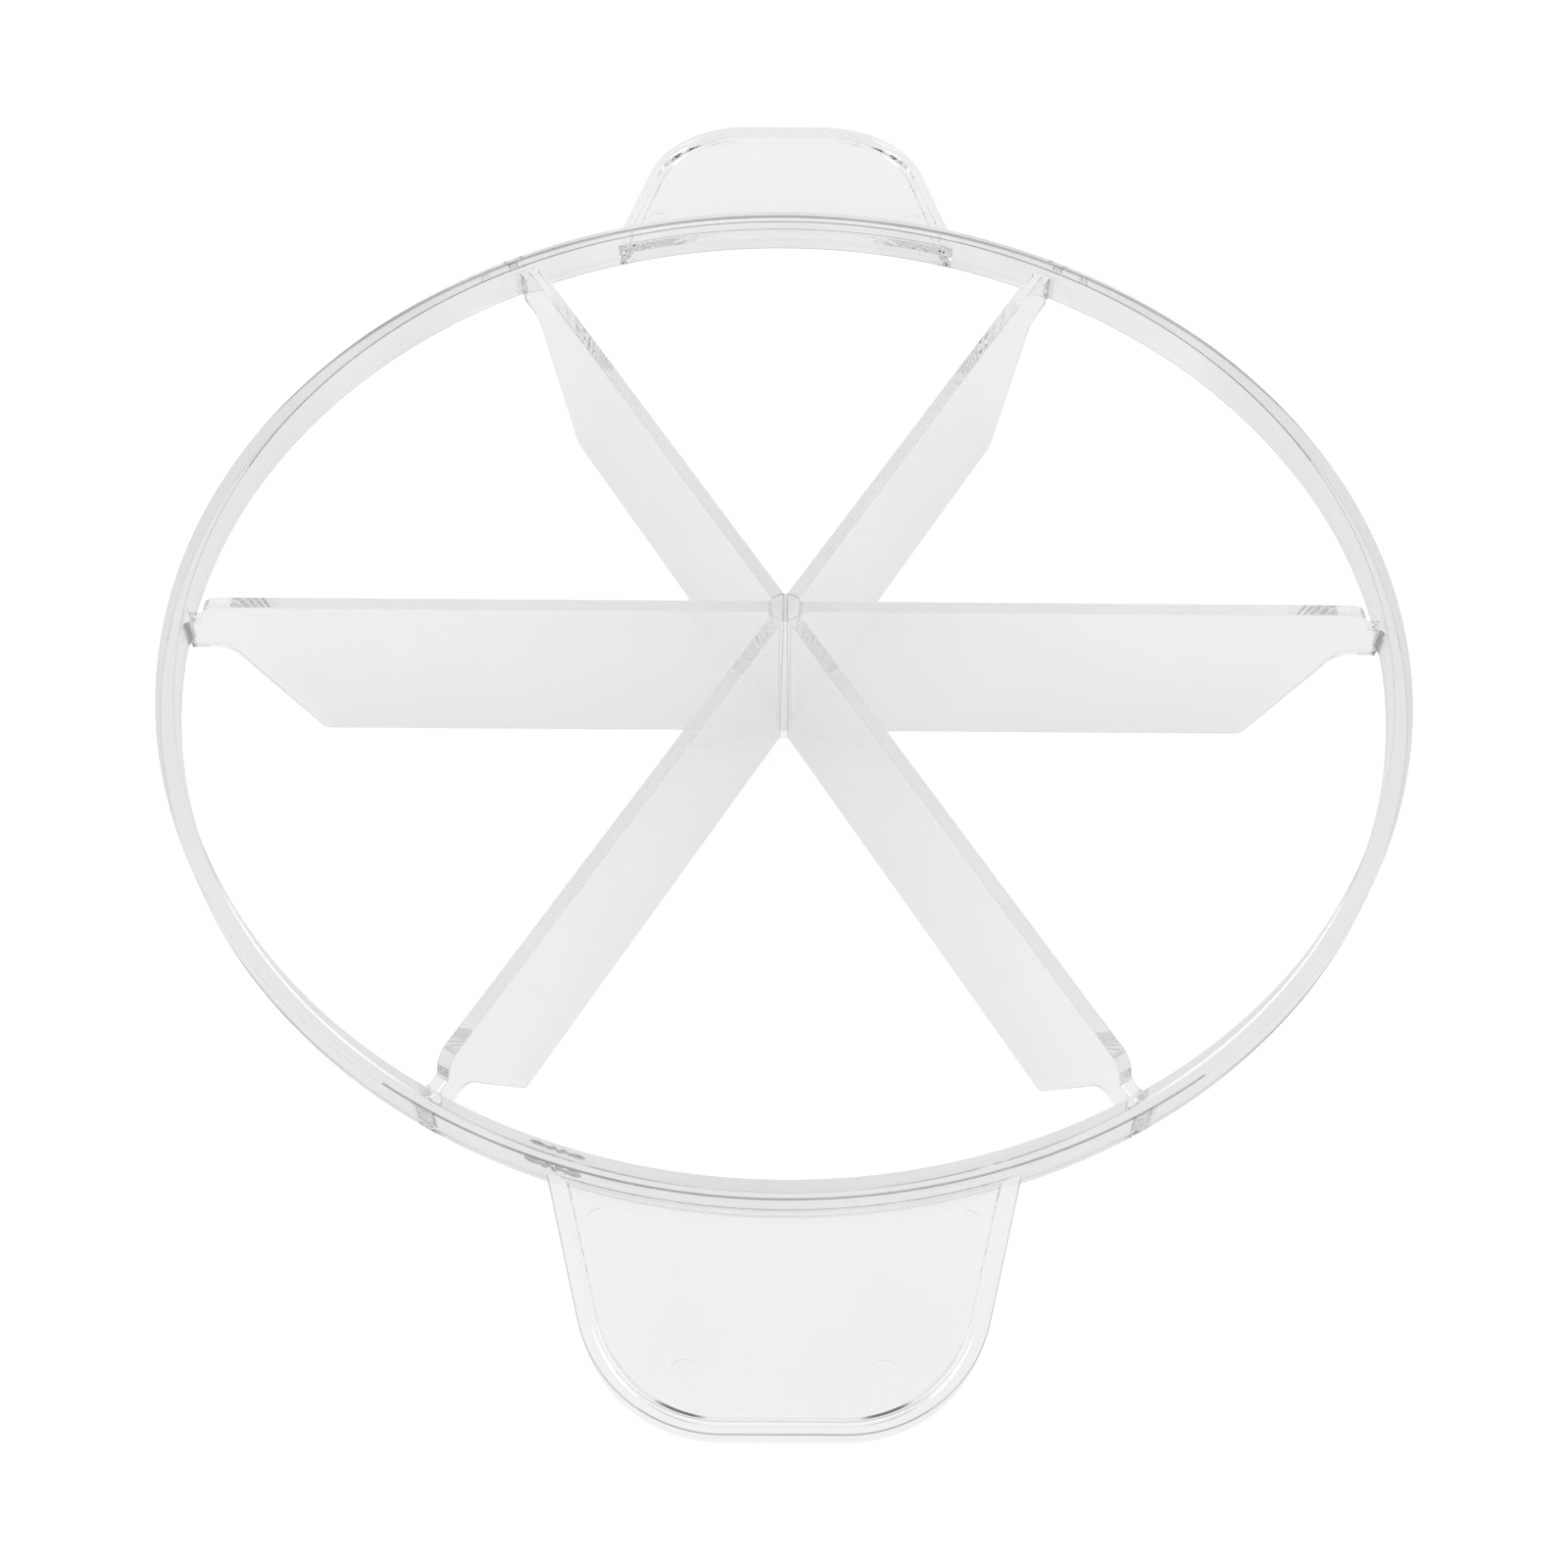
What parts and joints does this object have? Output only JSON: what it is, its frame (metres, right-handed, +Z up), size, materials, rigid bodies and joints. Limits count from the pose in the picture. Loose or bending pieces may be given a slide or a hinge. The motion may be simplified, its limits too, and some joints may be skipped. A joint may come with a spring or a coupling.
{
  "type": "pie slice cutter",
  "caption": "Clear plastic cutter that marks a round pie into equal wedges: a rim with tapered blades meeting at a post, and a beaded handle on each side.",
  "frame": {"origin": "on the post's axis, level with the blades' cutting edges that the cutter stands on", "axes": "+Z up from the cutting edges to the top, +Y from the post towards the back handle, +X along the first blade"},
  "size_m": [0.254, 0.3296, 0.0424],
  "materials": {
    "clear_plastic": "clear moulded plastic, polished, with faint scuffs"
  },
  "bodies": {
    "root": {"rim": "clear_plastic", "hub": "clear_plastic", "blade_1": "clear_plastic", "blade_2": "clear_plastic", "blade_3": "clear_plastic", "blade_4": "clear_plastic", "blade_5": "clear_plastic", "blade_6": "clear_plastic", "back_handle": "clear_plastic", "front_handle": "clear_plastic"}
  },
  "joints": []
}
